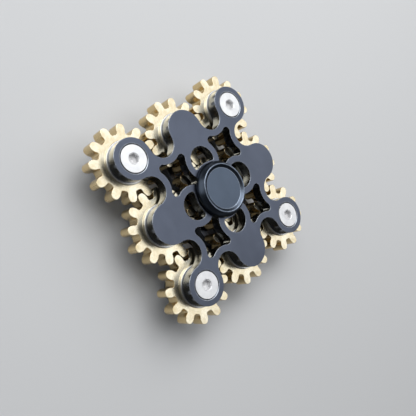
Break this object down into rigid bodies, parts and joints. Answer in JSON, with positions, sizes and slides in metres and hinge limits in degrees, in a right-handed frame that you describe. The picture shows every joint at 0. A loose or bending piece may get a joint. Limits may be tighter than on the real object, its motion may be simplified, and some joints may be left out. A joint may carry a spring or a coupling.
{
  "type": "geared fidget spinner",
  "caption": "Square desk spinner: slotted plates on a bearing hub carry meshed toothed gears on ball bearings, held between two finger caps.",
  "frame": {"origin": "centre of the object: on the spin axis, midway between the two plates", "axes": "+Z along the spin axis, out of the front, the side of the screw heads; +X and +Y from the hub towards the middles of two neighbouring sides"},
  "size_m": [0.0594, 0.0594, 0.0188],
  "materials": {
    "plate_black": "fine satin black anodised, glossy machined edges",
    "cap_black": "turned and black anodised, bright bevels",
    "brass": "machined and lightly polished",
    "bearing_steel": "ground",
    "screw_steel": "satin stainless",
    "shaft_steel": "ground",
    "ball_steel": "polished"
  },
  "bodies": {
    "hub": {"front_cap": "cap_black", "rear_cap": "cap_black", "hub_spindle": "shaft_steel", "hub_spacers": "bearing_steel", "centre_gear": "brass", "hub_bearing_front_inner": "bearing_steel", "hub_bearing_rear_inner": "bearing_steel"},
    "frame": {"front_plate": "plate_black", "rear_plate": "plate_black", "corner_screws": "screw_steel", "gear_shims": "bearing_steel", "hub_bearing_front_outer": "bearing_steel", "hub_bearing_rear_outer": "bearing_steel", "axle_e": "shaft_steel", "axle_n": "shaft_steel", "axle_w": "shaft_steel", "axle_s": "shaft_steel", "bearing_inner_e": "bearing_steel", "bearing_inner_ne": "bearing_steel", "bearing_inner_n": "bearing_steel", "bearing_inner_nw": "bearing_steel", "bearing_inner_w": "bearing_steel", "bearing_inner_sw": "bearing_steel", "bearing_inner_s": "bearing_steel", "bearing_inner_se": "bearing_steel"},
    "gear_e": {"gear_e": "brass", "bearing_outer_e": "bearing_steel"},
    "gear_ne": {"gear_ne": "brass", "bearing_outer_ne": "bearing_steel"},
    "gear_n": {"gear_n": "brass", "bearing_outer_n": "bearing_steel"},
    "gear_nw": {"gear_nw": "brass", "bearing_outer_nw": "bearing_steel"},
    "gear_w": {"gear_w": "brass", "bearing_outer_w": "bearing_steel"},
    "gear_sw": {"gear_sw": "brass", "bearing_outer_sw": "bearing_steel"},
    "gear_s": {"gear_s": "brass", "bearing_outer_s": "bearing_steel"},
    "gear_se": {"gear_se": "brass", "bearing_outer_se": "bearing_steel"},
    "balls_e": {"bearing_balls_e": "ball_steel"},
    "balls_ne": {"bearing_balls_ne": "ball_steel"},
    "balls_n": {"bearing_balls_n": "ball_steel"},
    "balls_nw": {"bearing_balls_nw": "ball_steel"},
    "balls_w": {"bearing_balls_w": "ball_steel"},
    "balls_sw": {"bearing_balls_sw": "ball_steel"},
    "balls_s": {"bearing_balls_s": "ball_steel"},
    "balls_se": {"bearing_balls_se": "ball_steel"},
    "hub_balls_front": {"hub_bearing_front_balls": "ball_steel"},
    "hub_balls_rear": {"hub_bearing_rear_balls": "ball_steel"}
  },
  "joints": [
    {"name": "frame_spin", "type": "hinge", "parent": "hub", "child": "frame", "pos_m": [0, 0, 0], "axis": [0, 0, 1], "continuous": true},
    {"name": "gear_e_spin", "type": "hinge", "parent": "frame", "child": "gear_e", "pos_m": [0.0192, 0, 0], "axis": [0, 0, 1], "continuous": true},
    {"name": "gear_ne_spin", "type": "hinge", "parent": "frame", "child": "gear_ne", "pos_m": [0.0192, 0.0192, 0], "axis": [0, 0, 1], "continuous": true},
    {"name": "gear_n_spin", "type": "hinge", "parent": "frame", "child": "gear_n", "pos_m": [0, 0.0192, 0], "axis": [0, 0, 1], "continuous": true},
    {"name": "gear_nw_spin", "type": "hinge", "parent": "frame", "child": "gear_nw", "pos_m": [-0.0192, 0.0192, 0], "axis": [0, 0, 1], "continuous": true},
    {"name": "gear_w_spin", "type": "hinge", "parent": "frame", "child": "gear_w", "pos_m": [-0.0192, 0, 0], "axis": [0, 0, 1], "continuous": true},
    {"name": "gear_sw_spin", "type": "hinge", "parent": "frame", "child": "gear_sw", "pos_m": [-0.0192, -0.0192, 0], "axis": [0, 0, 1], "continuous": true},
    {"name": "gear_s_spin", "type": "hinge", "parent": "frame", "child": "gear_s", "pos_m": [0, -0.0192, 0], "axis": [0, 0, 1], "continuous": true},
    {"name": "gear_se_spin", "type": "hinge", "parent": "frame", "child": "gear_se", "pos_m": [0.0192, -0.0192, 0], "axis": [0, 0, 1], "continuous": true},
    {"name": "balls_e_roll", "type": "hinge", "parent": "frame", "child": "balls_e", "pos_m": [0.0192, 0, 0], "axis": [0, 0, 1], "continuous": true},
    {"name": "balls_ne_roll", "type": "hinge", "parent": "frame", "child": "balls_ne", "pos_m": [0.0192, 0.0192, 0], "axis": [0, 0, 1], "continuous": true},
    {"name": "balls_n_roll", "type": "hinge", "parent": "frame", "child": "balls_n", "pos_m": [0, 0.0192, 0], "axis": [0, 0, 1], "continuous": true},
    {"name": "balls_nw_roll", "type": "hinge", "parent": "frame", "child": "balls_nw", "pos_m": [-0.0192, 0.0192, 0], "axis": [0, 0, 1], "continuous": true},
    {"name": "balls_w_roll", "type": "hinge", "parent": "frame", "child": "balls_w", "pos_m": [-0.0192, 0, 0], "axis": [0, 0, 1], "continuous": true},
    {"name": "balls_sw_roll", "type": "hinge", "parent": "frame", "child": "balls_sw", "pos_m": [-0.0192, -0.0192, 0], "axis": [0, 0, 1], "continuous": true},
    {"name": "balls_s_roll", "type": "hinge", "parent": "frame", "child": "balls_s", "pos_m": [0, -0.0192, 0], "axis": [0, 0, 1], "continuous": true},
    {"name": "balls_se_roll", "type": "hinge", "parent": "frame", "child": "balls_se", "pos_m": [0.0192, -0.0192, 0], "axis": [0, 0, 1], "continuous": true},
    {"name": "hub_balls_front_roll", "type": "hinge", "parent": "hub", "child": "hub_balls_front", "pos_m": [0, 0, 0.00426], "axis": [0, 0, 1], "continuous": true},
    {"name": "hub_balls_rear_roll", "type": "hinge", "parent": "hub", "child": "hub_balls_rear", "pos_m": [0, 0, -0.00426], "axis": [0, 0, 1], "continuous": true}
  ],
  "couplings": [
    {"joint": "gear_e_spin", "follows": "frame_spin", "ratio": 1},
    {"joint": "gear_ne_spin", "follows": "frame_spin", "ratio": -1},
    {"joint": "gear_n_spin", "follows": "frame_spin", "ratio": 1},
    {"joint": "gear_nw_spin", "follows": "frame_spin", "ratio": -1},
    {"joint": "gear_w_spin", "follows": "frame_spin", "ratio": 1},
    {"joint": "gear_sw_spin", "follows": "frame_spin", "ratio": -1},
    {"joint": "gear_s_spin", "follows": "frame_spin", "ratio": 1},
    {"joint": "gear_se_spin", "follows": "frame_spin", "ratio": -1},
    {"joint": "balls_e_roll", "follows": "frame_spin", "ratio": 0.625},
    {"joint": "balls_ne_roll", "follows": "frame_spin", "ratio": -0.625},
    {"joint": "balls_n_roll", "follows": "frame_spin", "ratio": 0.625},
    {"joint": "balls_nw_roll", "follows": "frame_spin", "ratio": -0.625},
    {"joint": "balls_w_roll", "follows": "frame_spin", "ratio": 0.625},
    {"joint": "balls_sw_roll", "follows": "frame_spin", "ratio": -0.625},
    {"joint": "balls_s_roll", "follows": "frame_spin", "ratio": 0.625},
    {"joint": "balls_se_roll", "follows": "frame_spin", "ratio": -0.625},
    {"joint": "hub_balls_front_roll", "follows": "frame_spin", "ratio": 0.58336},
    {"joint": "hub_balls_rear_roll", "follows": "frame_spin", "ratio": 0.58336}
  ]
}
